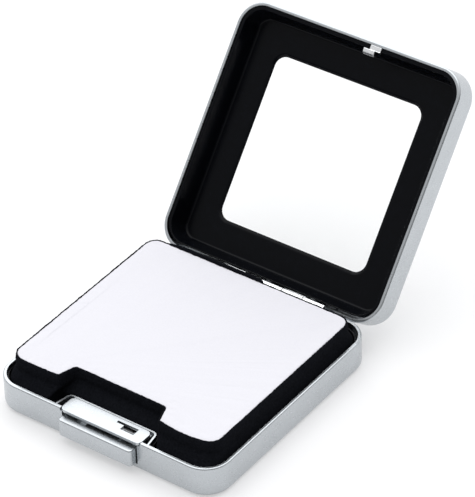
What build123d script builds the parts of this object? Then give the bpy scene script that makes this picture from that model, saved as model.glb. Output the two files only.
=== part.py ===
from build123d import *
import os
from math import atan, degrees

os.makedirs("parts", exist_ok=True)

# Case, in millimetres. X runs along the latch wall, +Y towards the hinge, +Z up from the table.
case_width = 60.0
case_depth = 60.0
case_corner_radius = 6.4
case_edge_radius = 1.45
rim_edge_radius = 0.4
wall = 0.8
base_height = 7.85
base_floor = 1.0
parting_gap = 0.1
lid_height = 7.65
lid_open_angle = 129.0

# Hinge
hinge_inset = 0.15
hinge_drop = 0.05
leaf_thickness = 0.4
pin_radius = 0.6
pin_running_clearance = 0.05
barrel_clearance = 0.15
middle_knuckle_length = 10.8
inner_knuckle_length = 5.5
outer_knuckle_length = 5.6
knuckle_gap = 0.2
barrel_notch_margin = 2.3
leaf_height = 4.0
rivet_radius = 0.6
rivet_head_radius = 1.1
rivet_head_height = 0.2
rivet_spacing = 12.0
rivet_count = 3
rivet_hole_clearance = 0.02

# Latch housing behind the latch wall
housing_back_half_width = 11.9
housing_front_half_width = 12.6
housing_depth = 4.25
housing_wall = 0.4
housing_corner_radius = 1.3
ledge_width = 1.7
ledge_depth = 1.65

# Cover plate over the housing, flush with the rim
plate_half_width = 10.75
plate_thickness = 0.7
plate_overhang = 0.15
plate_corner_radius = 1.2
plate_clearance = 0.07
plate_peg_radius = 0.4
plate_peg_length = 1.2
plate_peg_inset = 0.75

# Push button through the latch wall
button_width = 19.8
button_offset = -0.2
button_height = 4.4
button_bottom = 2.05
button_proud = 2.1
button_corner_radius = 0.9
button_edge_radius = 0.4
button_side_clearance = 0.25
button_bottom_clearance = 0.2
button_travel = 0.8
flange_thickness = 1.05
flange_reach = 0.8
flange_floor_clearance = 0.2
flange_top = 6.0
flange_wall_gap = 0.05
button_notch_depth = 0.55
button_notch_height = 0.7
large_notch_width = 2.4
large_notch_x = -4.9
small_notch_width = 0.7
small_notch_x = 5.3

# Hook on the lid and the catch it locks under
hook_x = 6.05
hook_width = 2.9
hook_thickness = 0.8
hook_tongue_inset = 2.0
hook_reach = 2.65
hook_barb = 0.6
hook_barb_height = 0.65
hook_leg_height = 3.9
hook_clearance = 0.3
hook_seat_clearance = 0.05
hook_pocket_clearance = 0.15
catch_thickness = 0.6
catch_strip = 0.7
catch_overlap = 0.4
catch_lift = 0.15
catch_left_leg = 3.3
catch_right_leg = 1.2
catch_peg_radius = 0.3
catch_peg_length = 1.4
catch_peg_clearance = 0.02
keyhole_length = 2.0
keyhole_width = 0.6

# Return springs of the button, drawn at their pressed length
spring_wire = 0.3
spring_radius = 0.85
spring_turns = 3.5
spring_x = 6.6
spring_z = 3.3
spring_free_gap = 0.1
spring_boss_radius = 0.5
spring_boss_length = 0.8

# Black liner of the base and the foam pad with its white face
liner_wall = 0.5
liner_floor = 0.5
liner_clearance = 0.05
liner_rim_drop = 0.75
leaf_room = 0.05
pad_width = 54.0
pad_front = 25.1
pad_back = 25.5
pad_corner_radius = 4.4
pad_room = 0.35
pad_foot_top = 5.4
pad_shoulder_top = 8.6
pad_welt_left = 24.0
pad_welt_right = 3.4
pad_welt_width = 0.75
pad_welt_rise = 0.75
pad_top = 12.0
pad_face_thickness = 0.7
pad_edge_radius = 0.65
pad_notch_half_width = 12.2
pad_notch_mouth_half_width = 13.6
pad_notch_offset = -1.0
pad_notch_depth = 4.1
pad_notch_radius = 0.8

# Black liner of the lid, the pane and the window
lid_lip_drop = 0.25
lid_lip_width = 0.95
lid_cavity_depth = 4.8
lid_slope_width = 1.4
lid_fillet_radius = 0.6
lid_plate_thickness = 0.65
window_width = 41.5
window_corner_radius = 3.6
window_bevel = 0.95
pane_thickness = 0.75
pane_rebate = 2.7
pane_clearance = 0.1
frame_window_step = 0.6
frame_window_flare = 0.8

# Derived places
half_width = case_width / 2
half_depth = case_depth / 2
inner_half_width = half_width - wall
inner_half_depth = half_depth - wall
inner_corner_radius = case_corner_radius - wall
lid_bottom = base_height + parting_gap
lid_top = lid_bottom + lid_height
hinge_y = half_depth - hinge_inset
hinge_z = base_height - hinge_drop
bore_radius = pin_radius + pin_running_clearance
barrel_radius = bore_radius + leaf_thickness
leaf_outer_y = hinge_y - bore_radius
leaf_inner_y = leaf_outer_y - leaf_thickness
barrel_room = barrel_radius + barrel_clearance
inner_knuckle_start = middle_knuckle_length / 2 + knuckle_gap
outer_knuckle_start = inner_knuckle_start + inner_knuckle_length + knuckle_gap
barrel_half_length = outer_knuckle_start + outer_knuckle_length
barrel_notch_length = 2 * (barrel_half_length + barrel_notch_margin)
leaf_length = 2 * barrel_half_length
base_leaf_top = hinge_z - barrel_room
lid_leaf_bottom = hinge_z + barrel_room
rivet_head_y = leaf_inner_y - rivet_head_height
liner_back_y = rivet_head_y - leaf_room
base_rivet_z = base_leaf_top - leaf_height / 2
lid_rivet_z = lid_leaf_bottom + leaf_height / 2

wall_inner_y = -inner_half_depth
housing_back_y = wall_inner_y + housing_depth
pocket_back_y = housing_back_y - housing_wall
plate_bottom = base_height - plate_thickness
plate_back_y = pocket_back_y - plate_clearance
plate_front_y = -half_depth - plate_overhang
ledge_front_y = pocket_back_y - ledge_depth
ledge_x = plate_half_width - ledge_width / 2
plate_peg_x = plate_half_width - plate_peg_inset
plate_peg_y = plate_back_y - plate_peg_inset

button_top = button_bottom + button_height
button_front_y = -half_depth - button_proud
flange_front_y = wall_inner_y + flange_wall_gap
flange_back_y = flange_front_y + flange_thickness
cutout_bottom = button_bottom - button_bottom_clearance
cutout_width = button_width + 2 * button_side_clearance
flange_width = cutout_width + 2 * flange_reach
flange_bottom = base_floor + flange_floor_clearance

hook_front_y = wall_inner_y + hook_seat_clearance
tongue_front_y = -half_depth + hook_tongue_inset
tongue_back_y = tongue_front_y + hook_thickness
hook_bottom = base_height - hook_reach
barb_back_y = tongue_back_y + hook_barb
hook_foot_bottom = lid_bottom
hook_foot_top = hook_foot_bottom + hook_thickness
catch_bottom = hook_bottom + hook_barb_height + catch_lift
catch_front_y = barb_back_y - catch_overlap
catch_back_y = catch_front_y + catch_strip
catch_left_x = hook_x - hook_width / 2 - hook_clearance
catch_right_x = hook_x + hook_width / 2 + hook_clearance
catch_left_end = catch_left_x - catch_left_leg
catch_right_end = catch_right_x + catch_right_leg
catch_left_peg_x = catch_left_x - catch_left_leg / 2
catch_right_peg_x = catch_right_x + catch_right_leg / 2
catch_peg_y = (flange_front_y + flange_back_y) / 2

spring_back_y = pocket_back_y
spring_length = spring_back_y - (flange_back_y + button_travel) - spring_free_gap
spring_rise = spring_length - spring_wire

liner_half_width = inner_half_width - liner_clearance
liner_front_y = wall_inner_y + liner_clearance
liner_depth = liner_back_y - liner_front_y
liner_centre_y = (liner_back_y + liner_front_y) / 2
liner_radius = inner_corner_radius - liner_clearance
liner_bottom = base_floor
liner_top = base_height - liner_rim_drop
liner_floor_top = liner_bottom + liner_floor
pad_bottom = liner_floor_top
pad_face_bottom = pad_top - pad_face_thickness
pad_foot_half_width = liner_half_width - liner_wall - pad_room
pad_foot_front_y = liner_front_y + liner_wall + pad_room
pad_foot_back_y = liner_back_y - liner_wall - pad_room
pad_foot_notch_y = housing_back_y + liner_clearance + liner_wall + pad_room
pad_foot_notch_half_width = (
    housing_front_half_width + liner_clearance + liner_wall + pad_room - pad_notch_offset
)

lid_lip_z = lid_bottom + lid_lip_drop
lid_plate_inner_z = lid_lip_z + lid_cavity_depth
cavity_half_width = inner_half_width - lid_lip_width
cavity_half_depth = inner_half_depth - lid_lip_width
hook_pocket_width = hook_width + 2 * hook_pocket_clearance
lid_plate_outer_z = lid_plate_inner_z + lid_plate_thickness
pane_top_z = lid_plate_outer_z + pane_thickness
lid_slope_angle = degrees(atan(lid_slope_width / lid_cavity_depth))
window_clear_width = window_width - 2 * window_bevel
window_bevel_angle = degrees(atan(window_bevel / lid_plate_thickness))
frame_window_width = window_clear_width + 2 * frame_window_step
frame_window_depth = lid_top - pane_top_z
frame_flare_angle = degrees(atan(frame_window_flare / frame_window_depth))
pane_width = window_clear_width + 2 * pane_rebate
pane_corner_radius = window_corner_radius + pane_rebate - window_bevel

# The lid is drawn shut in its own frame, which is swung open about the hinge axis
hinge_centre = (0, hinge_y, hinge_z)
lid_location = (
    Location(hinge_centre, (-lid_open_angle, 0, 0)) * Location((0, -hinge_y, -hinge_z))
)
lid_frame = Plane(lid_location)
lid_up = Axis(lid_frame.origin, lid_frame.z_dir)


def lid_plane(flat_plane):
    """The given plane of the shut lid, carried to the open lid."""
    return Plane(lid_location * flat_plane.location)


def save(block, label):
    block.part.label = label
    export_step(block.part, f"parts/{label}.step")


def rounded_outline(width, depth, radius):
    """A rounded rectangle centred on the sketch's origin."""
    return RectangleRounded(width, depth, radius)


def housing_outline(inset):
    """The housing's plan, run on past the latch wall, drawn in by the inset."""
    side_slope = (housing_front_half_width - housing_back_half_width) / housing_depth
    front_y = wall_inner_y - wall / 2
    front_half = housing_front_half_width + side_slope * wall / 2 - inset
    back_half = housing_back_half_width - inset
    back_y = housing_back_y - inset
    with BuildSketch(Plane.XY, mode=Mode.PRIVATE) as outline:
        with BuildLine():
            Polyline(
                (-front_half, front_y),
                (-back_half, back_y),
                (back_half, back_y),
                (front_half, front_y),
                close=True,
            )
        make_face()
        back_corners = outline.vertices().group_by(Axis.Y)[-1]
        fillet(back_corners, housing_corner_radius - inset)
    return outline.sketch


def knuckle_spans(inner):
    """Start and length of each knuckle: the inner pair, or the middle one and the outer pair."""
    if inner:
        return [
            (inner_knuckle_start, inner_knuckle_length),
            (-inner_knuckle_start - inner_knuckle_length, inner_knuckle_length),
        ]
    return [
        (-middle_knuckle_length / 2, middle_knuckle_length),
        (outer_knuckle_start, outer_knuckle_length),
        (-outer_knuckle_start - outer_knuckle_length, outer_knuckle_length),
    ]


def barrel_plane(x, to_lid):
    """A plane across the hinge axis at x, whose local X is Y and local Y is Z."""
    flat_plane = Plane(origin=(x, hinge_y, hinge_z), x_dir=(0, 1, 0), z_dir=(1, 0, 0))
    return lid_plane(flat_plane) if to_lid else flat_plane


def cut_barrel_room(to_lid):
    """Clears the walls round the whole hinge barrel, inside an open block."""
    with BuildSketch(barrel_plane(-barrel_notch_length / 2, to_lid)) as room:
        Circle(barrel_room)
    extrude(room.sketch, amount=barrel_notch_length, mode=Mode.SUBTRACT)


def cut_rivet_holes(z, to_lid):
    """Rivet holes through a wall and its leaf, inside an open block."""
    flat_plane = Plane(origin=(0, half_depth, z), x_dir=(1, 0, 0), z_dir=(0, -1, 0))
    hole_plane = lid_plane(flat_plane) if to_lid else flat_plane
    with BuildSketch(hole_plane) as holes:
        with GridLocations(rivet_spacing, 0, rivet_count, 1):
            Circle(rivet_radius + rivet_hole_clearance)
    extrude(holes.sketch, amount=2 * wall + leaf_thickness, mode=Mode.SUBTRACT)


# Base shell
with BuildPart() as base_shell:
    with BuildSketch(Plane.XY):
        rounded_outline(case_width, case_depth, case_corner_radius)
    extrude(amount=base_height)
    fillet(base_shell.faces().sort_by(Axis.Z)[0].edges(), case_edge_radius)
    fillet(base_shell.faces().sort_by(Axis.Z)[-1].edges(), rim_edge_radius)
    with BuildSketch(Plane.XY.offset(base_floor)):
        rounded_outline(2 * inner_half_width, 2 * inner_half_depth, inner_corner_radius)
    extrude(amount=base_height, mode=Mode.SUBTRACT)
    with BuildSketch(Plane.XY.offset(base_floor)):
        add(housing_outline(0))
    extrude(amount=base_height - base_floor)
    with BuildSketch(Plane.XY.offset(base_floor)):
        add(housing_outline(housing_wall))
        with Locations((0, wall_inner_y - case_depth / 2)):
            Rectangle(case_width, case_depth, mode=Mode.SUBTRACT)
    extrude(amount=base_height, mode=Mode.SUBTRACT)
    with BuildSketch(Plane.XY.offset(base_floor)):
        with Locations((-ledge_x, ledge_front_y), (ledge_x, ledge_front_y)):
            Rectangle(ledge_width, ledge_depth, align=(Align.CENTER, Align.MIN))
    extrude(amount=plate_bottom - base_floor)
    with BuildSketch(Plane.XY.offset(plate_bottom)):
        with Locations((0, wall_inner_y)):
            Rectangle(
                2 * (plate_half_width + plate_clearance), 2 * wall, align=(Align.CENTER, Align.MAX)
            )
    extrude(amount=base_height, mode=Mode.SUBTRACT)
    with BuildSketch(Plane.XY.offset(cutout_bottom)):
        with Locations((button_offset, wall_inner_y)):
            Rectangle(cutout_width, 2 * wall, align=(Align.CENTER, Align.MAX))
    extrude(amount=base_height, mode=Mode.SUBTRACT)
    with BuildSketch(Plane.XY.offset(plate_bottom)):
        with Locations((-plate_peg_x, plate_peg_y), (plate_peg_x, plate_peg_y)):
            Circle(plate_peg_radius + catch_peg_clearance)
    extrude(amount=-plate_peg_length - plate_clearance, mode=Mode.SUBTRACT)
    with BuildSketch(Plane.XZ.offset(-spring_back_y)):
        with Locations((-spring_x, spring_z), (spring_x, spring_z)):
            Circle(spring_boss_radius)
    extrude(amount=spring_boss_length)
    cut_barrel_room(to_lid=False)
    cut_rivet_holes(base_rivet_z, to_lid=False)
save(base_shell, "base_shell")

# Cover plate with the hook's keyhole and two pegs
with BuildPart() as latch_cover_plate:
    with BuildSketch(Plane.XY.offset(plate_bottom)):
        with Locations((0, (plate_front_y + plate_back_y) / 2)):
            rounded_outline(
                2 * plate_half_width, plate_back_y - plate_front_y, plate_corner_radius
            )
        with Locations((hook_x, barb_back_y + hook_clearance)):
            Rectangle(
                hook_width + 2 * hook_clearance,
                barb_back_y - tongue_front_y + 2 * hook_clearance,
                align=(Align.CENTER, Align.MAX),
                mode=Mode.SUBTRACT,
            )
        with Locations((catch_left_x, barb_back_y + hook_clearance)):
            Rectangle(
                keyhole_length, keyhole_width, align=(Align.MAX, Align.MAX), mode=Mode.SUBTRACT
            )
    extrude(amount=plate_thickness)
    with BuildSketch(Plane.XY.offset(plate_bottom)):
        with Locations((-plate_peg_x, plate_peg_y), (plate_peg_x, plate_peg_y)):
            Circle(plate_peg_radius)
    extrude(amount=-plate_peg_length)
save(latch_cover_plate, "latch_cover_plate")

# Push button: a bar through the latch wall with a flange that keeps it in
with BuildPart() as push_button:
    with BuildSketch(Plane.XZ.offset(-flange_front_y)):
        with Locations((button_offset, button_bottom)):
            Rectangle(button_width, button_height, align=(Align.CENTER, Align.MIN))
    extrude(amount=flange_front_y - button_front_y)
    front_corners = push_button.edges().filter_by(Axis.Z).group_by(Axis.Y)[0]
    fillet(front_corners, button_corner_radius)
    front_rim = push_button.faces().sort_by(Axis.Y)[0].edges()
    fillet(front_rim, button_edge_radius)
    with BuildSketch(Plane.XY.offset(button_top)):
        with Locations((large_notch_x, -half_depth)):
            Rectangle(large_notch_width, 2 * button_notch_depth)
        with Locations((small_notch_x, -half_depth)):
            Rectangle(small_notch_width, 2 * button_notch_depth)
    extrude(amount=-button_notch_height, mode=Mode.SUBTRACT)
    with BuildSketch(Plane.XZ.offset(-flange_back_y)):
        with Locations((button_offset, flange_bottom)):
            Rectangle(flange_width, flange_top - flange_bottom, align=(Align.CENTER, Align.MIN))
        with Locations(((catch_left_x + catch_right_x) / 2, flange_top)):
            Rectangle(
                catch_right_x - catch_left_x,
                flange_top - hook_bottom + hook_clearance,
                align=(Align.CENTER, Align.MAX),
                mode=Mode.SUBTRACT,
            )
    extrude(amount=flange_thickness)
    with BuildSketch(Plane.XY.offset(flange_top)):
        with Locations((catch_left_peg_x, catch_peg_y), (catch_right_peg_x, catch_peg_y)):
            Circle(catch_peg_radius + catch_peg_clearance)
    extrude(amount=-catch_peg_length - catch_peg_clearance, mode=Mode.SUBTRACT)
save(push_button, "push_button")

# Catch: a flat fork on the button whose rear strip holds the hook's barb down
with BuildPart() as latch_catch:
    with BuildSketch(Plane.XY.offset(catch_bottom)):
        with Locations((catch_left_end, flange_front_y)):
            Rectangle(
                catch_right_end - catch_left_end,
                catch_back_y - flange_front_y,
                align=(Align.MIN, Align.MIN),
            )
        with Locations((catch_left_x, flange_front_y)):
            Rectangle(
                catch_right_x - catch_left_x,
                catch_front_y - flange_front_y,
                align=(Align.MIN, Align.MIN),
                mode=Mode.SUBTRACT,
            )
    extrude(amount=catch_thickness)
    with BuildSketch(Plane.XY.offset(catch_bottom)):
        with Locations((catch_left_peg_x, catch_peg_y), (catch_right_peg_x, catch_peg_y)):
            Circle(catch_peg_radius)
    extrude(amount=-catch_peg_length)
save(latch_catch, "latch_catch")

# Two return springs on their bosses
with BuildPart() as latch_springs:
    for x in (-spring_x, spring_x):
        with BuildLine() as coil:
            Helix(
                spring_rise / spring_turns,
                spring_rise,
                spring_radius,
                center=(x, spring_back_y - spring_wire / 2, spring_z),
                direction=(0, -1, 0),
            )
        with BuildSketch(Plane(origin=coil.line @ 0, z_dir=coil.line % 0)):
            Circle(spring_wire / 2)
        sweep(path=coil.line, is_frenet=True)
save(latch_springs, "latch_springs")

# Black liner of the base, cut round the latch housing
with BuildPart() as base_liner:
    with BuildSketch(Plane.XY.offset(liner_bottom)):
        with Locations((0, liner_centre_y)):
            rounded_outline(2 * liner_half_width, liner_depth, liner_radius)
        add(housing_outline(-liner_clearance), mode=Mode.SUBTRACT)
    extrude(amount=liner_top - liner_bottom)
    with BuildSketch(Plane.XY.offset(liner_floor_top)):
        with Locations((0, liner_centre_y)):
            rounded_outline(
                2 * (liner_half_width - liner_wall),
                liner_depth - 2 * liner_wall,
                liner_radius - liner_wall,
            )
        add(housing_outline(-liner_clearance - liner_wall), mode=Mode.SUBTRACT)
    extrude(amount=base_height, mode=Mode.SUBTRACT)
save(base_liner, "base_liner")


def pad_outline(half_width, front, back, notch_half_width, notch_mouth_half_width, notch_back):
    """A rounded outline with a notch for the latch housing in its front edge."""
    with BuildSketch(Plane.XY, mode=Mode.PRIVATE) as notch:
        with BuildLine():
            Polyline(
                (pad_notch_offset - notch_mouth_half_width, front),
                (pad_notch_offset - notch_half_width, notch_back),
                (pad_notch_offset + notch_half_width, notch_back),
                (pad_notch_offset + notch_mouth_half_width, front),
                close=True,
            )
        make_face()
        fillet(notch.vertices().group_by(Axis.Y)[-1], pad_notch_radius)
    with BuildSketch(Plane.XY, mode=Mode.PRIVATE) as outline:
        with Locations((0, (back + front) / 2)):
            rounded_outline(2 * half_width, back - front, pad_corner_radius)
        add(notch.sketch, mode=Mode.SUBTRACT)
        mouth_corners = outline.vertices().group_by(Axis.Y)[0].sort_by(Axis.X)[1:-1]
        fillet(mouth_corners, pad_notch_radius)
    return outline.sketch


pad_top_outline = pad_outline(
    pad_width / 2,
    -pad_front,
    pad_back,
    pad_notch_half_width,
    pad_notch_mouth_half_width,
    -pad_front + pad_notch_depth,
)
pad_foot_outline = pad_outline(
    pad_foot_half_width,
    pad_foot_front_y,
    pad_foot_back_y,
    pad_foot_notch_half_width,
    pad_foot_notch_half_width,
    pad_foot_notch_y,
)

# Foam pad: its foot fills the liner, its shoulder draws in, and a welt stands along half its back
with BuildPart() as foam_pad:
    with BuildSketch(Plane.XY.offset(pad_bottom)):
        add(pad_foot_outline)
    extrude(amount=pad_foot_top - pad_bottom)
    with BuildSketch(Plane.XY.offset(pad_foot_top)):
        add(pad_foot_outline)
    with BuildSketch(Plane.XY.offset(pad_shoulder_top)):
        add(pad_top_outline)
    loft(ruled=True)
    with BuildSketch(Plane.XY.offset(pad_shoulder_top)):
        add(pad_top_outline)
    extrude(amount=pad_face_bottom - pad_shoulder_top)
    with BuildSketch(Plane.XY.offset(pad_shoulder_top)):
        with Locations(((pad_welt_right - pad_welt_left) / 2, pad_back)):
            Rectangle(
                pad_welt_left + pad_welt_right, pad_welt_width, align=(Align.CENTER, Align.MIN)
            )
    extrude(amount=pad_top + pad_welt_rise - pad_shoulder_top)
save(foam_pad, "foam_pad")

with BuildPart() as pad_face:
    with BuildSketch(Plane.XY.offset(pad_face_bottom)):
        add(pad_top_outline)
    extrude(amount=pad_face_thickness)
    fillet(pad_face.faces().sort_by(Axis.Z)[-1].edges(), pad_edge_radius)
save(pad_face, "pad_face")


def hinge_leaf(knuckles, leaf_near_z, leaf_far_z, to_lid):
    """A flat leaf with curled knuckles and rivet holes, inside an open block."""
    leaf_flat = Plane(origin=(0, leaf_outer_y, 0), x_dir=(1, 0, 0), z_dir=(0, -1, 0))
    leaf_plane = lid_plane(leaf_flat) if to_lid else leaf_flat
    with BuildSketch(leaf_plane) as strip:
        with Locations((0, (leaf_near_z + leaf_far_z) / 2)):
            Rectangle(leaf_length, abs(leaf_far_z - leaf_near_z))
        for start, length in knuckles:
            with Locations((start + length / 2, (leaf_near_z + hinge_z) / 2)):
                Rectangle(length, abs(leaf_near_z - hinge_z))
    extrude(strip.sketch, amount=leaf_thickness)
    for start, length in knuckles:
        with BuildSketch(barrel_plane(start, to_lid)) as curl:
            Circle(barrel_radius)
        extrude(curl.sketch, amount=length)
    with BuildSketch(barrel_plane(-barrel_half_length, to_lid)) as bore:
        Circle(bore_radius)
    extrude(bore.sketch, amount=2 * barrel_half_length, mode=Mode.SUBTRACT)


with BuildPart() as base_hinge_leaf:
    hinge_leaf(knuckle_spans(inner=True), base_leaf_top, base_leaf_top - leaf_height, to_lid=False)
    cut_rivet_holes(base_rivet_z, to_lid=False)
save(base_hinge_leaf, "base_hinge_leaf")

with BuildPart() as lid_hinge_leaf:
    hinge_leaf(
        knuckle_spans(inner=False), lid_leaf_bottom, lid_leaf_bottom + leaf_height, to_lid=True
    )
    cut_rivet_holes(lid_rivet_z, to_lid=True)
save(lid_hinge_leaf, "lid_hinge_leaf")

with BuildPart() as hinge_pin:
    with BuildSketch(barrel_plane(-barrel_half_length, to_lid=False)):
        Circle(pin_radius)
    extrude(amount=2 * barrel_half_length)
save(hinge_pin, "hinge_pin")


def rivet_row(z, to_lid):
    """Rivets through the wall and the leaf, with thin inner heads, inside an open block."""
    wall_flat = Plane(origin=(0, half_depth, z), x_dir=(1, 0, 0), z_dir=(0, -1, 0))
    wall_plane = lid_plane(wall_flat) if to_lid else wall_flat
    with BuildSketch(wall_plane) as shanks:
        with GridLocations(rivet_spacing, 0, rivet_count, 1):
            Circle(rivet_radius)
    extrude(shanks.sketch, amount=half_depth - leaf_inner_y)
    with BuildSketch(wall_plane.offset(half_depth - leaf_inner_y)) as heads:
        with GridLocations(rivet_spacing, 0, rivet_count, 1):
            Circle(rivet_head_radius)
    extrude(heads.sketch, amount=rivet_head_height)


with BuildPart() as base_hinge_rivets:
    rivet_row(base_rivet_z, to_lid=False)
save(base_hinge_rivets, "base_hinge_rivets")

with BuildPart() as lid_hinge_rivets:
    rivet_row(lid_rivet_z, to_lid=True)
save(lid_hinge_rivets, "lid_hinge_rivets")

# Lid shell: a frame with a flared window and a seat for the pane
with BuildPart() as lid_shell:
    with BuildSketch(lid_frame.offset(lid_bottom)):
        rounded_outline(case_width, case_depth, case_corner_radius)
    extrude(amount=lid_height)
    fillet(lid_shell.faces().sort_by(lid_up)[-1].edges(), case_edge_radius)
    fillet(lid_shell.faces().sort_by(lid_up)[0].edges(), rim_edge_radius)
    with BuildSketch(lid_frame.offset(lid_bottom)):
        rounded_outline(2 * inner_half_width, 2 * inner_half_depth, inner_corner_radius)
    extrude(amount=lid_plate_outer_z - lid_bottom, mode=Mode.SUBTRACT)
    with BuildSketch(lid_frame.offset(lid_plate_outer_z)):
        rounded_outline(
            pane_width + 2 * pane_clearance,
            pane_width + 2 * pane_clearance,
            pane_corner_radius + pane_clearance,
        )
    extrude(amount=pane_thickness, mode=Mode.SUBTRACT)
    with BuildSketch(lid_frame.offset(pane_top_z)):
        rounded_outline(frame_window_width, frame_window_width, window_corner_radius)
    extrude(amount=frame_window_depth, taper=-frame_flare_angle, mode=Mode.SUBTRACT)
    cut_barrel_room(to_lid=True)
    cut_rivet_holes(lid_rivet_z, to_lid=True)
save(lid_shell, "lid_shell")

with BuildPart() as window_pane:
    with BuildSketch(lid_frame.offset(lid_plate_outer_z)):
        rounded_outline(pane_width, pane_width, pane_corner_radius)
    extrude(amount=pane_thickness)
save(window_pane, "window_pane")

# Black liner of the lid: sloped sides and a plate with a bevelled window
with BuildPart() as lid_liner:
    with BuildSketch(lid_frame.offset(lid_lip_z)):
        with Locations((0, liner_centre_y)):
            rounded_outline(2 * liner_half_width, liner_depth, liner_radius)
    extrude(amount=lid_plate_outer_z - lid_lip_z)
    with BuildSketch(lid_frame.offset(lid_lip_z)):
        rounded_outline(
            2 * cavity_half_width, 2 * cavity_half_depth, inner_corner_radius - lid_lip_width
        )
    extrude(amount=lid_cavity_depth, taper=lid_slope_angle, mode=Mode.SUBTRACT)
    plate_face = lid_liner.faces().filter_by(lid_up).sort_by(lid_up)[1]
    fillet(plate_face.edges(), lid_fillet_radius)
    with BuildSketch(lid_frame.offset(lid_plate_inner_z)):
        rounded_outline(window_width, window_width, window_corner_radius)
    extrude(amount=lid_plate_thickness, taper=window_bevel_angle, mode=Mode.SUBTRACT)
    with BuildSketch(lid_frame.offset(hook_foot_bottom)):
        with Locations((hook_x, -inner_half_depth)):
            Rectangle(
                hook_pocket_width,
                hook_front_y + hook_thickness + inner_half_depth + liner_clearance,
                align=(Align.CENTER, Align.MIN),
            )
    extrude(amount=hook_foot_top + hook_leg_height - hook_foot_bottom, mode=Mode.SUBTRACT)
    with BuildSketch(lid_frame.offset(hook_foot_bottom)):
        with Locations((hook_x, -inner_half_depth)):
            Rectangle(
                hook_pocket_width,
                tongue_back_y + hook_clearance + inner_half_depth,
                align=(Align.CENTER, Align.MIN),
            )
    extrude(amount=hook_foot_top + hook_pocket_clearance - hook_foot_bottom, mode=Mode.SUBTRACT)
save(lid_liner, "lid_liner")

# Hook: a leg against the lid's front wall, a foot across the rim and a barbed tongue
hook_side_flat = Plane(origin=(hook_x - hook_width / 2, 0, 0), x_dir=(0, 1, 0), z_dir=(1, 0, 0))
with BuildPart() as lid_hook:
    with BuildSketch(lid_plane(hook_side_flat)):
        with BuildLine():
            Polyline(
                (hook_front_y, hook_foot_bottom),
                (tongue_front_y, hook_foot_bottom),
                (tongue_front_y, hook_bottom),
                (tongue_back_y, hook_bottom),
                (barb_back_y, hook_bottom + hook_barb_height),
                (tongue_back_y, hook_bottom + hook_barb_height),
                (tongue_back_y, hook_foot_top),
                (hook_front_y + hook_thickness, hook_foot_top),
                (hook_front_y + hook_thickness, hook_foot_top + hook_leg_height - hook_clearance),
                (hook_front_y, hook_foot_top + hook_leg_height - hook_clearance),
                close=True,
            )
        make_face()
    extrude(amount=hook_width)
save(lid_hook, "lid_hook")
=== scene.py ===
"""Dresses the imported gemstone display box: case, latch, hinge, liners, window and foam pad."""

import math

import bmesh
import bpy
from bpy.props import FloatProperty, FloatVectorProperty, IntProperty, PointerProperty
from mathutils import Matrix, Vector, noise


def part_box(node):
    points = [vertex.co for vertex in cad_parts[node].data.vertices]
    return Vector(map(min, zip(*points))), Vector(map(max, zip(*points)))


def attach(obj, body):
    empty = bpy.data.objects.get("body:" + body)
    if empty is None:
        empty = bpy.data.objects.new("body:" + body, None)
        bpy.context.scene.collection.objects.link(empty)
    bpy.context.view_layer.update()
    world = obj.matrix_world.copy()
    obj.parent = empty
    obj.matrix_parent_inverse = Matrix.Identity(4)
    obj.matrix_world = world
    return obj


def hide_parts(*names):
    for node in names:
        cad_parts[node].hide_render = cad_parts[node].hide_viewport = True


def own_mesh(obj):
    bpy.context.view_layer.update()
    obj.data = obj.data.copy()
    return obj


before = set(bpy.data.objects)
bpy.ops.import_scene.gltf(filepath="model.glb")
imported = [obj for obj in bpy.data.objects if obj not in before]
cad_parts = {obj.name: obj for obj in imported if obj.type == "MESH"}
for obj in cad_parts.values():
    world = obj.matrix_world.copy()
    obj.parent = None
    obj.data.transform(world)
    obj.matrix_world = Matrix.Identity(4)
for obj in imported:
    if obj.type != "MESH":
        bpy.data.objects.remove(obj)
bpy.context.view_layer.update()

bl_info = {
    "name": "Gemstone display box",
    "version": (1, 0, 0),
    "blender": (4, 5, 0),
    "location": "3D View > Sidebar > Display box",
    "description": "Builds the looks of a small metal display box with a window lid and a foam pad",
    "category": "Object",
}

MM = 0.001

# The camera: the image it was fitted to in pixels, its sensor in millimetres, its place in
# metres and its directions
IMAGE_HEIGHT = 497
FOCAL_PIXELS = 3340.56
SENSOR = 36.0
CLIP_START = 0.01
CLIP_END = 20
CAMERA_PLACE = (0.356156, -0.448776, 0.466188)
CAMERA_RIGHT = (0.80932103, 0.58667762, -0.02844011)
CAMERA_DOWN = (0.33421955, -0.4997914, -0.79906561)
CAMERA_FORWARD = (-0.48300803, 0.63719536, -0.60057082)

# The stage: the floor's half width in metres, the brightest part of the sky, the sky's levels
# by how near a direction is to it, and the axis and width of the dark band at its foot
FLOOR_HALF = 3.0
SKY_CENTRE = (-0.3, 0.35, 0.89)
SKY_LEVELS = ((0.0, 0.5), (0.38, 0.55), (0.6, 0.9), (0.8, 1.7), (1.0, 2.0))
SKY_TINT = (0.995, 1.0, 1.01)
BAND_AXIS = (-0.25, 0.3, 0.92)
BAND_WIDTH = 0.3

# Modifiers that dress a CAD node: merging distance and the angles of flat faces and of edges
WELD_DISTANCE = 0.001 * MM
FLAT_ANGLE = math.radians(0.4)
EDGE_ANGLE = math.radians(35)

# The pad's solids in millimetres, read from the frame
FACE_LOW, FACE_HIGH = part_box("pad_face")
FOAM_LOW, FOAM_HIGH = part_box("foam_pad")
PAD_HALF_WIDTH = FACE_HIGH.x / MM
PAD_FRONT = FACE_LOW.y / MM
PAD_BACK = FACE_HIGH.y / MM
PAD_TOP = FACE_HIGH.z / MM
FOOT_HALF_WIDTH = FOAM_HIGH.x / MM
FOOT_FRONT = FOAM_LOW.y / MM
FOOT_BACK = FOAM_HIGH.y / MM
FOOT_BOTTOM = FOAM_LOW.z / MM
WELT_TOP = FOAM_HIGH.z / MM

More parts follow.
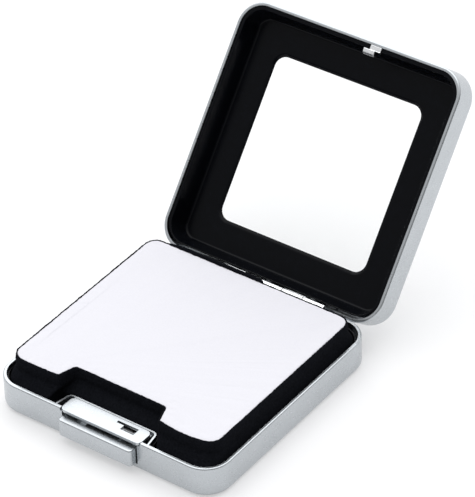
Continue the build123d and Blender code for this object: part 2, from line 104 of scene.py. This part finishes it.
# The soft pad in millimetres: how far it spreads past its solid, and its corners
LEFT_SPREAD = 0.95
RIGHT_SPREAD = 0.5
BACK_SPREAD = 0.6
PAD_CORNER = 3.2
FOOT_CORNER = 4.4
LEAST_CORNER = 0.12

# The black rim round the white face, and the notch in the pad's front
FLOCK_RIM = 0.5
NOTCH_OFFSET = -1.0
NOTCH_HALF_WIDTH = 12.0
NOTCH_MOUTH_HALF_WIDTH = 13.4
NOTCH_BACK = -21.25
NOTCH_CORNER = 0.8
FOOT_NOTCH_HALF_WIDTH = 14.5
FOOT_NOTCH_BACK = -24.05

# The swell of the two lobes beside the notch, and how far back it reaches
LEFT_BULGE = 0.35
RIGHT_BULGE = 0.75
BULGE_REACH = 7.0

# Heights of the foot and of the shoulder where the foot narrows, and the swell of the sides
FOOT_TOP = 6.4
FOOT_ROUNDING = 0.3
FOOT_EASE = 0.8
SHOULDER_TOP = 9.4
SHOULDER_STEPS = 14
SIDE_RISES = (0.25, 0.5, 0.75, 1.0, 1.25, 1.5, 1.7)
SIDE_SWELL = 0.06

# Sections over the pad's black rim and round the white face's edge: inset and drop from the top
RIM_SECTIONS = (
    (0.0, 0.75),
    (0.02, 0.5),
    (0.05, 0.3),
    (0.1, 0.12),
    (0.17, -0.04),
    (0.26, -0.15),
    (0.36, -0.17),
    (0.46, -0.08),
    (0.56, 0.14),
    (0.9, 0.45),
)
FACE_SECTIONS = (
    (0.4, 0.5),
    (0.16, 0.34),
    (0.05, 0.2),
    (0.0, 0.1),
    (0.01, 0.03),
    (0.07, -0.02),
    (0.17, -0.05),
    (0.32, -0.07),
    (0.52, -0.08),
    (0.8, -0.09),
    (1.2, -0.1),
    (1.7, -0.1),
    (2.5, -0.1),
)

# The welt along the left half of the pad's back edge
WELT_LEFT = -24.0
WELT_RIGHT = 3.4
WELT_WIDTH = 0.75
WELT_DEPTH = 1.6
WELT_SPACING = 0.3
WELT_POINTS = 16
WELT_LIFT_LEFT = 1.08
WELT_LIFT_RIGHT = 1.16
WELT_SETBACK = 0.2
WELT_TAPER_LEFT = 6
WELT_TAPER_RIGHT = 40

# The wander of the flock's edges: the seed and the scales of its noise, in cells for each
# millimetre, how much the coarse noise and the face have of it, and each piece's place in it
NOISE_SEED = 4
COARSE_WANDER = 0.55
FINE_WANDER = 2.6
COARSE_SHARE = 0.6
FACE_WANDER = 0.8
FOAM_SHIFT = (27.4, 14.2, 6.6)
FACE_SHIFT = (41.1, 21.3, 9.9)


class BoxSettings(bpy.types.PropertyGroup):
    """Colours and sizes of the box's finishes."""

    metal_colour: FloatVectorProperty(
        name="Metal",
        description="Satin cast case",
        subtype="COLOR",
        default=(0.5, 0.525, 0.545),
    )
    metal_roughness: FloatProperty(
        name="Metal roughness", description="How satin the case is", default=0.28, min=0, max=1
    )
    bright_colour: FloatVectorProperty(
        name="Bright metal",
        description="Hinge and hook",
        subtype="COLOR",
        default=(0.93, 0.94, 0.95),
    )
    liner_colour: FloatVectorProperty(
        name="Liner",
        description="Black plastic liners",
        subtype="COLOR",
        default=(0.0012, 0.0016, 0.0028),
    )
    foam_colour: FloatVectorProperty(
        name="Foam",
        description="Black flocked foam",
        subtype="COLOR",
        default=(0.0115, 0.0125, 0.016),
    )
    face_colour: FloatVectorProperty(
        name="Pad face",
        description="White flocked face",
        subtype="COLOR",
        default=(0.73, 0.725, 0.765),
    )
    glass_tint: FloatVectorProperty(
        name="Pane",
        description="Clear window pane",
        subtype="COLOR",
        default=(0.995, 1.0, 0.998),
    )
    edge_bevel: FloatProperty(
        name="Edge bevel",
        description="Width of the small broken edges",
        default=0.09 * MM,
        unit="LENGTH",
    )
    point_spacing: FloatProperty(
        name="Pad point spacing",
        description="Distance between points along the pad's outline",
        default=0.28 * MM,
        unit="LENGTH",
    )
    fuzz_height: FloatProperty(
        name="Fuzz",
        description="How far the flock's edge wanders",
        default=0.1 * MM,
        unit="LENGTH",
    )
    corner_points: IntProperty(
        name="Corner points", description="Points along each corner of the pad", default=14, min=4
    )
    floor_colour: FloatVectorProperty(
        name="Floor",
        description="Plain pale floor",
        subtype="COLOR",
        default=(0.55, 0.55, 0.553),
    )
    sky_strength: FloatProperty(
        name="Studio light", description="Strength of the soft dome", default=1.15, min=0
    )
    floor_glow: FloatProperty(
        name="Floor glow", description="Light from the paper floor itself", default=0.72, min=0
    )
    horizon_level: FloatProperty(
        name="Horizon", description="How bright the dome's dark foot is", default=0.12, min=0
    )


# Materials


class Shade:
    """A node material with a Principled surface and helpers for its texture nodes."""

    def __init__(self, name):
        self.material = bpy.data.materials.new(name)
        self.material.use_nodes = True
        self.tree = self.material.node_tree
        self.surface = self.tree.nodes["Principled BSDF"]
        self.place = self.tree.nodes.new("ShaderNodeTexCoord").outputs["Object"]

    def set(self, **values):
        """Plain values on the surface's own sockets, with underscores for spaces."""
        for key, value in values.items():
            self.surface.inputs[key.replace("_", " ")].default_value = value

    def stretched(self, scale):
        """The object coordinates, scaled along each axis."""
        node = self.tree.nodes.new("ShaderNodeVectorMath")
        node.operation = "MULTIPLY"
        node.inputs[1].default_value = scale
        self.tree.links.new(self.place, node.inputs[0])
        return node.outputs["Vector"]

    def noise(self, grain, detail=3.0, place=None, roughness=0.55):
        """Noise whose cells are about the grain across, in metres."""
        node = self.tree.nodes.new("ShaderNodeTexNoise")
        node.inputs["Scale"].default_value = 1 / grain
        node.inputs["Detail"].default_value = detail
        node.inputs["Roughness"].default_value = roughness
        self.tree.links.new(place or self.place, node.inputs["Vector"])
        return node.outputs["Fac"]

    def cells(self, grain):
        """Distance to the nearest cell centre, for the flock's fibres."""
        node = self.tree.nodes.new("ShaderNodeTexVoronoi")
        node.inputs["Scale"].default_value = 1 / grain
        self.tree.links.new(self.place, node.inputs["Vector"])
        return node.outputs["Distance"]

    def ranged(self, value, low, high, start=0.3, end=0.7):
        """The value, mapped from its usual span to low and high."""
        node = self.tree.nodes.new("ShaderNodeMapRange")
        node.inputs["From Min"].default_value = start
        node.inputs["From Max"].default_value = end
        node.inputs["To Min"].default_value = low
        node.inputs["To Max"].default_value = high
        self.tree.links.new(value, node.inputs["Value"])
        return node.outputs["Result"]

    def blended(self, value, low_colour, high_colour, start=0.3, end=0.7):
        """A colour between two, by the value."""
        node = self.tree.nodes.new("ShaderNodeMix")
        node.data_type = "RGBA"
        low, high = (socket for socket in node.inputs if socket.type == "RGBA")
        low.default_value = (*low_colour, 1)
        high.default_value = (*high_colour, 1)
        self.tree.links.new(self.ranged(value, 0, 1, start, end), node.inputs[0])
        return next(o for o in node.outputs if o.type == "RGBA")

    def feed(self, output, name):
        """Links an output to one of the surface's sockets."""
        self.tree.links.new(output, self.surface.inputs[name])

    def bumps(self, *layers):
        """Layers of (height, distance in metres, strength), one on top of the other."""
        below = None
        for height, distance, strength in layers:
            node = self.tree.nodes.new("ShaderNodeBump")
            node.inputs["Distance"].default_value = distance
            node.inputs["Strength"].default_value = strength
            self.tree.links.new(height, node.inputs["Height"])
            if below:
                self.tree.links.new(below, node.inputs["Normal"])
            below = node.outputs["Normal"]
        self.feed(below, "Normal")


def scaled(colour, factor):
    """The colour times the factor, at most white."""
    return tuple(min(1.0, part * factor) for part in colour)


def satin_metal(name, settings):
    """Cast metal with a fine blasted grain under satin plating."""
    shade = Shade(name)
    colour = settings.metal_colour
    roughness = settings.metal_roughness
    cloud = shade.noise(3.5 * MM, detail=2.0)
    haze = shade.noise(0.9 * MM, detail=3.0)
    grain = shade.noise(0.11 * MM, detail=3.0, roughness=0.7)
    shade.set(Metallic=1.0)
    shade.feed(shade.blended(cloud, scaled(colour, 0.98), scaled(colour, 1.02)), "Base Color")
    shade.feed(shade.ranged(haze, roughness - 0.015, roughness + 0.02), "Roughness")
    shade.bumps((cloud, 0.02 * MM, 0.04), (grain, 0.004 * MM, 0.05))
    return shade.material


def bright_metal(name, settings):
    """Polished plated steel with faint drawing lines along X."""
    shade = Shade(name)
    colour = settings.bright_colour
    lines = shade.noise(0.05 * MM, detail=2.0, place=shade.stretched((0.04, 1.0, 1.0)))
    shade.set(Metallic=1.0)
    shade.feed(shade.blended(lines, scaled(colour, 0.94), scaled(colour, 1.05)), "Base Color")
    shade.feed(shade.ranged(lines, 0.12, 0.22), "Roughness")
    shade.bumps((lines, 0.003 * MM, 0.4))
    return shade.material


def spring_steel(name, settings):
    """Plain drawn steel of the springs, the catch and the hinge pin."""
    shade = Shade(name)
    colour = scaled(settings.bright_colour, 0.78)
    haze = shade.noise(0.3 * MM, detail=4.0)
    grain = shade.noise(0.06 * MM)
    shade.set(Metallic=1.0)
    shade.feed(shade.blended(haze, scaled(colour, 0.85), colour), "Base Color")
    shade.feed(shade.ranged(haze, 0.24, 0.4), "Roughness")
    shade.bumps((grain, 0.003 * MM, 0.4))
    return shade.material


def black_plastic(name, settings):
    """Moulded black liner with a very fine matt texture."""
    shade = Shade(name)
    colour = settings.liner_colour
    skin = shade.noise(0.16 * MM, detail=3.0)
    dust = shade.noise(1.7 * MM, detail=5.0, roughness=0.75)
    shade.set(Specular_IOR_Level=0.1)
    shade.feed(shade.blended(dust, colour, scaled(colour, 1.9), 0.45, 0.8), "Base Color")
    shade.feed(shade.ranged(dust, 0.2, 0.27), "Roughness")
    shade.bumps((skin, 0.006 * MM, 0.5))
    return shade.material


def flock(name, colour, spread, sheen, sheen_roughness):
    """Short upright fibres: clumps that catch the light over a deep pile."""
    shade = Shade(name)
    clumps = shade.noise(0.42 * MM, detail=4.0, roughness=0.7)
    fibres = shade.cells(0.17 * MM)
    nap = shade.noise(5.0 * MM, detail=2.0)
    shade.set(
        Roughness=0.95,
        Specular_IOR_Level=0.0,
        Sheen_Weight=sheen,
        Sheen_Roughness=sheen_roughness,
    )
    shade.feed(shade.blended(clumps, scaled(colour, 1 - spread), colour), "Base Color")
    shade.bumps((nap, 0.05 * MM, 0.3), (clumps, 0.05 * MM, 0.45), (fibres, 0.04 * MM, 0.35))
    return shade.material


def clear_glass(name, settings):
    """A thin clear pane with the faintest waviness."""
    shade = Shade(name)
    waves = shade.noise(9.0 * MM, detail=1.0)
    shade.set(
        Base_Color=(*settings.glass_tint, 1),
        Roughness=0.0,
        IOR=1.45,
        Transmission_Weight=1.0,
    )
    shade.bumps((waves, 0.004 * MM, 0.1))
    return shade.material


def pale_floor(name, settings):
    """Matt paper floor."""
    shade = Shade(name)
    colour = settings.floor_colour
    clouds = shade.noise(200 * MM, detail=2.0)
    shade.set(Roughness=0.9, Specular_IOR_Level=0.0)
    shade.set(Emission_Color=(*colour, 1), Emission_Strength=settings.floor_glow)
    shade.feed(shade.blended(clouds, scaled(colour, 0.995), colour), "Base Color")
    return shade.material


def black_flock(name, settings):
    """Black flock of the foam pad."""
    return flock(name, settings.foam_colour, spread=0.6, sheen=0.012, sheen_roughness=0.4)


def white_flock(name, settings):
    """White flock of the pad's face."""
    return flock(name, settings.face_colour, spread=0.035, sheen=0.1, sheen_roughness=0.4)


# Each slot's finish; the names differ from those of the plain materials that come with the frame
FINISHES = {
    "satin_metal": ("satin case metal", satin_metal),
    "bright_metal": ("bright hinge metal", bright_metal),
    "spring_steel": ("drawn spring steel", spring_steel),
    "black_plastic": ("matt black liner", black_plastic),
    "clear_glass": ("clear pane", clear_glass),
    "black_foam": ("black flock", black_flock),
    "white_velvet": ("white flock", white_flock),
    "pale_floor": ("paper floor", pale_floor),
}


def finish_for(slot, settings):
    """The material of that slot, made once."""
    name, maker = FINISHES[slot]
    return bpy.data.materials.get(name) or maker(name, settings)


# Shapes


def dress(node, material_name, settings, bevel=1.0, segments=3):
    """Gives a CAD node its finish, smooth round faces and small broken edges."""
    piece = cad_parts[node]
    mesh = piece.data
    mesh.materials.clear()
    mesh.materials.append(finish_for(material_name, settings))
    custom = mesh.attributes.get("custom_normal")
    if custom:
        mesh.attributes.remove(custom)
    mesh.shade_smooth()
    weld = piece.modifiers.new("Weld", "WELD")
    weld.merge_threshold = WELD_DISTANCE
    flat = piece.modifiers.new("Flat faces", "DECIMATE")
    flat.decimate_type = "DISSOLVE"
    flat.angle_limit = FLAT_ANGLE
    if bevel:
        edge = piece.modifiers.new("Broken edges", "BEVEL")
        edge.width = settings.edge_bevel * bevel
        edge.segments = segments
        edge.limit_method = "ANGLE"
        edge.angle_limit = EDGE_ANGLE
        edge.harden_normals = True
    normals = piece.modifiers.new("Normals", "WEIGHTED_NORMAL")
    normals.keep_sharp = False
    return piece


def corner_arc(before, corner, after, radius, count):
    """Points of the arc that rounds a corner."""
    into = (corner - before).normalized()
    out = (after - corner).normalized()
    turn = into.angle_signed(out)
    reach = abs(radius * math.tan(turn / 2))
    start = corner - into * reach
    side = 1 if turn < 0 else -1
    centre = start + Vector((-into.y, into.x)) * radius * side
    spoke = start - centre
    points = []
    for step in range(count):
        angle = -turn * step / (count - 1)
        cos, sin = math.cos(angle), math.sin(angle)
        turned = Vector((spoke.x * cos - spoke.y * sin, spoke.x * sin + spoke.y * cos))
        points.append(centre + turned)
    return points


def moved_corner(before, corner, after, inset):
    """The corner where both of its edges have moved to the left of their direction."""
    into = (corner - before).normalized()
    out = (after - corner).normalized()
    normal_in = Vector((-into.y, into.x))
    normal_out = Vector((-out.y, out.x))
    both = normal_in + normal_out
    return corner + both * (inset / (1 + normal_in.dot(normal_out)))


def bulged(point):
    """The point moved forward where the soft lobes beside the notch swell."""
    side = point.x - NOTCH_OFFSET
    lobe_width = PAD_HALF_WIDTH - NOTCH_MOUTH_HALF_WIDTH
    share = (abs(side) - NOTCH_MOUTH_HALF_WIDTH) / lobe_width
    near = 1 - (point.y - PAD_FRONT) / BULGE_REACH
    swell = math.sin(math.pi * min(1, max(0, share))) * min(1, max(0, near))
    return point - Vector((0, (RIGHT_BULGE if side > 0 else LEFT_BULGE) * swell))


class Outline:
    """A closed outline of rounded corners that can be drawn at any inset with the same points."""

    def __init__(self, corners, settings, like=None, bulging=False):
        self.bulging = bulging
        self.corners = [Vector((x, y)) for x, y, _ in corners]
        self.radii = [radius for _, _, radius in corners]
        self.arc_points = settings.corner_points
        self.runs = like.runs if like else self.counted_runs(settings.point_spacing / MM)

    def counted_runs(self, spacing):
        """How many steps each straight stretch takes at the point spacing."""
        arcs = self.arcs(0)
        runs = []
        for index, arc in enumerate(arcs):
            following = arcs[(index + 1) % len(arcs)]
            runs.append(max(1, round((following[0] - arc[-1]).length / spacing)))
        return runs

    def arcs(self, inset):
        """The rounded corners' points at that inset."""
        count = len(self.corners)
        moved = []
        for index, corner in enumerate(self.corners):
            before, after = self.corners[index - 1], self.corners[(index + 1) % count]
            moved.append(moved_corner(before, corner, after, inset))
        arcs = []
        for index, corner in enumerate(moved):
            before, after = moved[index - 1], moved[(index + 1) % count]
            turn = (corner - before).angle_signed(after - corner)
            radius = self.radii[index] - inset if turn < 0 else self.radii[index] + inset
            arcs.append(
                corner_arc(before, corner, after, max(radius, LEAST_CORNER), self.arc_points)
            )
        return arcs

    def loop(self, inset):
        """The outline's points at that inset, counter-clockwise."""
        arcs = self.arcs(inset)
        points = []
        for index, arc in enumerate(arcs):
            points.extend(arc)
            following = arcs[(index + 1) % len(arcs)][0]
            for step in range(1, self.runs[index]):
                points.append(arc[-1].lerp(following, step / self.runs[index]))
        return [bulged(point) for point in points] if self.bulging else points


def lofted(mesh, sections, wander, shift):
    """Adds a closed solid through the sections of (points, height), in millimetres."""
    shift = Vector(shift)
    loops = []
    for points, height in sections:
        loop = []
        for point in points:
            place = Vector((point.x, point.y, height))
            coarse = noise.noise_vector(place * COARSE_WANDER + shift)
            fine = noise.noise_vector(place * FINE_WANDER + shift)
            loop.append(mesh.verts.new((place + (coarse * COARSE_SHARE + fine) * wander) * MM))
        loops.append(loop)
    for below, above in zip(loops, loops[1:]):
        for index, vert in enumerate(below):
            following = (index + 1) % len(below)
            mesh.faces.new((vert, below[following], above[following], above[index]))
    mesh.faces.new(reversed(loops[0]))
    mesh.faces.new(loops[-1])


def piece_from(name, mesh, material_name, body, settings, *replaced):
    """Makes an object of the bmesh that rides on the body in place of CAD nodes."""
    bmesh.ops.recalc_face_normals(mesh, faces=mesh.faces[:])
    data = bpy.data.meshes.new(name)
    mesh.to_mesh(data)
    mesh.free()
    data.shade_smooth()
    piece = bpy.data.objects.new(name, data)
    bpy.context.scene.collection.objects.link(piece)
    data.materials.append(finish_for(material_name, settings))
    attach(piece, body)
    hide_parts(*replaced)
    return piece


def notched_corners(left, right, front, back, corner, notch_half, mouth_half, notch_back):
    """Corners of a rounded square with a notch in its front, counter-clockwise with radii."""
    return [
        (NOTCH_OFFSET + mouth_half, front, NOTCH_CORNER),
        (right, front, corner),
        (right, back, corner),
        (left, back, corner),
        (left, front, corner),
        (NOTCH_OFFSET - mouth_half, front, NOTCH_CORNER),
        (NOTCH_OFFSET - notch_half, notch_back, NOTCH_CORNER),
        (NOTCH_OFFSET + notch_half, notch_back, NOTCH_CORNER),
    ]


# Operators


class BOX_OT_case(bpy.types.Operator):
    """Satin finish and broken edges on both cast shells."""

    bl_idname = "display_box.case"
    bl_label = "Metal case"

    def execute(self, context):
        settings = context.scene.display_box
        dress("base_shell", "satin_metal", settings)
        dress("lid_shell", "satin_metal", settings)
        return {"FINISHED"}


class BOX_OT_latch(bpy.types.Operator):
    """Cover plate, push button, catch, springs and the lid's hook."""

    bl_idname = "display_box.latch"
    bl_label = "Latch"

    def execute(self, context):
        settings = context.scene.display_box
        dress("latch_cover_plate", "satin_metal", settings, bevel=0.8)
        dress("push_button", "satin_metal", settings)
        dress("latch_catch", "spring_steel", settings, bevel=0.5)
        dress("latch_springs", "spring_steel", settings, bevel=0)
        dress("lid_hook", "bright_metal", settings)
        return {"FINISHED"}


class BOX_OT_hinge(bpy.types.Operator):
    """Hinge leaves, their rivets and the pin."""

    bl_idname = "display_box.hinge"
    bl_label = "Hinge"

    def execute(self, context):
        settings = context.scene.display_box
        dress("base_hinge_leaf", "bright_metal", settings, bevel=0.5)
        dress("lid_hinge_leaf", "bright_metal", settings, bevel=0.5)
        dress("hinge_pin", "spring_steel", settings, bevel=0.8)
        dress("base_hinge_rivets", "satin_metal", settings, bevel=0.5)
        dress("lid_hinge_rivets", "satin_metal", settings, bevel=0.5)
        return {"FINISHED"}


class BOX_OT_liners(bpy.types.Operator):
    """Black plastic liners of the base and the lid."""

    bl_idname = "display_box.liners"
    bl_label = "Liners"

    def execute(self, context):
        settings = context.scene.display_box
        dress("base_liner", "black_plastic", settings)
        dress("lid_liner", "black_plastic", settings, bevel=2.0)
        return {"FINISHED"}


class BOX_OT_window(bpy.types.Operator):
    """Clear pane of the lid's window."""

    bl_idname = "display_box.window"
    bl_label = "Window pane"

    def execute(self, context):
        dress("window_pane", "clear_glass", context.scene.display_box, bevel=0.6)
        return {"FINISHED"}


class BOX_OT_pad(bpy.types.Operator):
    """Black flocked foam pad with its white face."""

    bl_idname = "display_box.pad"
    bl_label = "Foam pad"

    def execute(self, context):
        settings = context.scene.display_box
        wander = settings.fuzz_height / MM
        noise.seed_set(NOISE_SEED)
        upper = Outline(
            notched_corners(
                -PAD_HALF_WIDTH - LEFT_SPREAD,
                PAD_HALF_WIDTH + RIGHT_SPREAD,
                PAD_FRONT - FLOCK_RIM,
                PAD_BACK + BACK_SPREAD,
                PAD_CORNER,
                NOTCH_HALF_WIDTH,
                NOTCH_MOUTH_HALF_WIDTH,
                NOTCH_BACK,
            ),
            settings,
            bulging=True,
        )
        foot = Outline(
            notched_corners(
                -FOOT_HALF_WIDTH,
                FOOT_HALF_WIDTH,
                FOOT_FRONT,
                FOOT_BACK,
                FOOT_CORNER,
                FOOT_NOTCH_HALF_WIDTH,
                FOOT_NOTCH_HALF_WIDTH,
                FOOT_NOTCH_BACK,
            ),
            settings,
            like=upper,
        )
        self.foam_body(upper, foot, wander, settings)
        self.white_face(upper, wander, settings)
        return {"FINISHED"}

    def foam_body(self, upper, foot, wander, settings):
        """The black body from its foot in the liner to the rim round the face, and its welt."""
        body = bmesh.new()
        wide, narrow = foot.loop(0), upper.loop(0)
        sections = [
            (foot.loop(FOOT_ROUNDING), FOOT_BOTTOM),
            (wide, FOOT_BOTTOM + FOOT_ROUNDING),
            (wide, FOOT_TOP - FOOT_EASE),
        ]
        for step in range(SHOULDER_STEPS + 1):
            share = step / SHOULDER_STEPS
            eased = share * share * (3 - 2 * share)
            points = [low.lerp(high, eased) for low, high in zip(wide, narrow)]
            sections.append((points, FOOT_TOP + (SHOULDER_TOP - FOOT_TOP) * share))
        for rise in SIDE_RISES:
            swell = SIDE_SWELL * math.sin(math.pi * rise / SIDE_RISES[-1])
            sections.append((upper.loop(-swell), SHOULDER_TOP + rise))
        for inset, drop in RIM_SECTIONS:
            sections.append((upper.loop(inset), PAD_TOP - drop))
        lofted(body, sections, wander, FOAM_SHIFT)
        self.welt(body, wander)
        piece = piece_from("flocked_pad", body, "black_foam", "base", settings, "foam_pad")
        self.squeeze(piece)

    def welt(self, body, wander):
        """A low fuzzy ridge along the left half of the pad's back edge, higher to the right."""
        middle = PAD_BACK + BACK_SPREAD - WELT_WIDTH * WELT_SETBACK
        count = round((WELT_RIGHT - WELT_LEFT) / WELT_SPACING)
        rings = []
        for step in range(count + 1):
            share = step / count
            x = WELT_LEFT + (WELT_RIGHT - WELT_LEFT) * share
            left_taper = WELT_TAPER_LEFT * share
            right_taper = WELT_TAPER_RIGHT * (1.0001 - share)
            rounding = math.sqrt(min(1.0, left_taper, right_taper))
            lift = WELT_LIFT_LEFT + (WELT_LIFT_RIGHT - WELT_LIFT_LEFT) * share
            top = PAD_TOP + (WELT_TOP - PAD_TOP) * lift
            centre_z = (PAD_TOP - WELT_DEPTH + top) / 2
            tall = (top - centre_z) * rounding
            wide = WELT_WIDTH / 2 * rounding
            ring = []
            for turn in range(WELT_POINTS):
                angle = 2 * math.pi * turn / WELT_POINTS
                y, z = middle + wide * math.cos(angle), centre_z + tall * math.sin(angle)
                place = Vector((x, y, z))
                moved = place + noise.noise_vector(place * FINE_WANDER) * wander
                ring.append(body.verts.new(moved * MM))
            rings.append(ring)
        for left, right in zip(rings, rings[1:]):
            for turn, vert in enumerate(left):
                following = (turn + 1) % WELT_POINTS
                body.faces.new((vert, left[following], right[following], right[turn]))
        body.faces.new(reversed(rings[0]))
        body.faces.new(rings[-1])

    def white_face(self, upper, wander, settings):
        """The white face, rounded over at its edge inside the black rim."""
        face = bmesh.new()
        sections = []
        for inset, drop in FACE_SECTIONS:
            sections.append((upper.loop(FLOCK_RIM + inset), PAD_TOP - drop))
        lofted(face, sections, wander * FACE_WANDER, FACE_SHIFT)
        piece = piece_from("flocked_face", face, "white_velvet", "base", settings, "pad_face")
        self.squeeze(piece)

    def squeeze(self, piece):
        """Gives the piece its own copy of its mesh."""
        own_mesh(piece)


class BOX_OT_stage(bpy.types.Operator):
    """Pale floor, soft studio light and the camera."""

    bl_idname = "display_box.stage"
    bl_label = "Stage and camera"

    def execute(self, context):
        settings = context.scene.display_box
        half = FLOOR_HALF
        mesh = bpy.data.meshes.new("floor")
        corners = [(-half, -half, 0), (half, -half, 0), (half, half, 0), (-half, half, 0)]
        mesh.from_pydata(corners, [], [(0, 1, 2, 3)])
        mesh.materials.append(finish_for("pale_floor", settings))
        floor = bpy.data.objects.new("floor", mesh)
        context.scene.collection.objects.link(floor)
        self.light_dome(context.scene, settings)
        self.place_camera(context.scene)
        context.scene.view_settings.view_transform = "Standard"
        return {"FINISHED"}

    def light_dome(self, scene, settings):
        """A soft dome, bright overhead and behind the box, with a dark band at its foot."""
        world = bpy.data.worlds.new("studio")
        world.use_nodes = True
        scene.world = world
        tree = world.node_tree
        background = tree.nodes["Background"]
        background.inputs["Strength"].default_value = settings.sky_strength
        direction = tree.nodes.new("ShaderNodeTexCoord").outputs["Generated"]
        towards = tree.nodes.new("ShaderNodeVectorMath")
        towards.operation = "DOT_PRODUCT"
        towards.inputs[1].default_value = Vector(SKY_CENTRE).normalized()
        tree.links.new(direction, towards.inputs[0])
        ramp = tree.nodes.new("ShaderNodeValToRGB")
        while len(ramp.color_ramp.elements) < len(SKY_LEVELS):
            ramp.color_ramp.elements.new(0.5)
        for element, (position, level) in zip(ramp.color_ramp.elements, SKY_LEVELS):
            element.position = position
            element.color = (*(level * part for part in SKY_TINT), 1)
        ramp.color_ramp.interpolation = "EASE"
        tree.links.new(towards.outputs["Value"], ramp.inputs["Fac"])
        height = tree.nodes.new("ShaderNodeVectorMath")
        height.operation = "DOT_PRODUCT"
        height.inputs[1].default_value = Vector(BAND_AXIS).normalized()
        tree.links.new(direction, height.inputs[0])
        above = tree.nodes.new("ShaderNodeMapRange")
        above.interpolation_type = "SMOOTHSTEP"
        above.inputs["From Min"].default_value = 0.0
        above.inputs["From Max"].default_value = BAND_WIDTH
        tree.links.new(height.outputs["Value"], above.inputs["Value"])
        horizon = tree.nodes.new("ShaderNodeMix")
        horizon.data_type = "RGBA"
        dark = (settings.horizon_level,) * 3
        colour_sockets = [socket for socket in horizon.inputs if socket.type == "RGBA"]
        colour_sockets[0].default_value = (*dark, 1)
        tree.links.new(above.outputs["Result"], horizon.inputs[0])
        tree.links.new(ramp.outputs["Color"], colour_sockets[1])
        mixed = next(output for output in horizon.outputs if output.type == "RGBA")
        tree.links.new(mixed, background.inputs["Color"])

    def place_camera(self, scene):
        """The camera of the photograph, from its right, down and forward directions."""
        data = bpy.data.cameras.new("camera")
        data.sensor_width = SENSOR
        data.lens = FOCAL_PIXELS * SENSOR / IMAGE_HEIGHT
        data.clip_start = CLIP_START
        data.clip_end = CLIP_END
        camera = bpy.data.objects.new("camera", data)
        scene.collection.objects.link(camera)
        right = Vector(CAMERA_RIGHT)
        up = -Vector(CAMERA_DOWN)
        back = -Vector(CAMERA_FORWARD)
        turned = Matrix((right, up, back)).transposed().to_4x4()
        camera.matrix_world = Matrix.Translation(CAMERA_PLACE) @ turned
        scene.camera = camera


class BOX_PT_panel(bpy.types.Panel):
    """Lists the box's operators and settings."""

    bl_idname = "BOX_PT_panel"
    bl_label = "Display box"
    bl_space_type = "VIEW_3D"
    bl_region_type = "UI"
    bl_category = "Display box"

    def draw(self, context):
        settings = context.scene.display_box
        for name in BoxSettings.__annotations__:
            self.layout.prop(settings, name)
        for operator in OPERATORS:
            self.layout.operator(operator.bl_idname)


OPERATORS = (
    BOX_OT_case,
    BOX_OT_latch,
    BOX_OT_hinge,
    BOX_OT_liners,
    BOX_OT_window,
    BOX_OT_pad,
    BOX_OT_stage,
)


def register():
    """Registers the settings, the operators and the panel."""
    bpy.utils.register_class(BoxSettings)
    for operator in OPERATORS:
        bpy.utils.register_class(operator)
    bpy.utils.register_class(BOX_PT_panel)
    bpy.types.Scene.display_box = PointerProperty(type=BoxSettings)


def unregister():
    """Takes them all out again."""
    del bpy.types.Scene.display_box
    bpy.utils.unregister_class(BOX_PT_panel)
    for operator in reversed(OPERATORS):
        bpy.utils.unregister_class(operator)
    bpy.utils.unregister_class(BoxSettings)


def main():
    """Dresses the whole box."""
    register()
    bpy.ops.display_box.case()
    bpy.ops.display_box.latch()
    bpy.ops.display_box.hinge()
    bpy.ops.display_box.liners()
    bpy.ops.display_box.window()
    bpy.ops.display_box.pad()
    bpy.ops.display_box.stage()


if __name__ == "__main__":
    main()
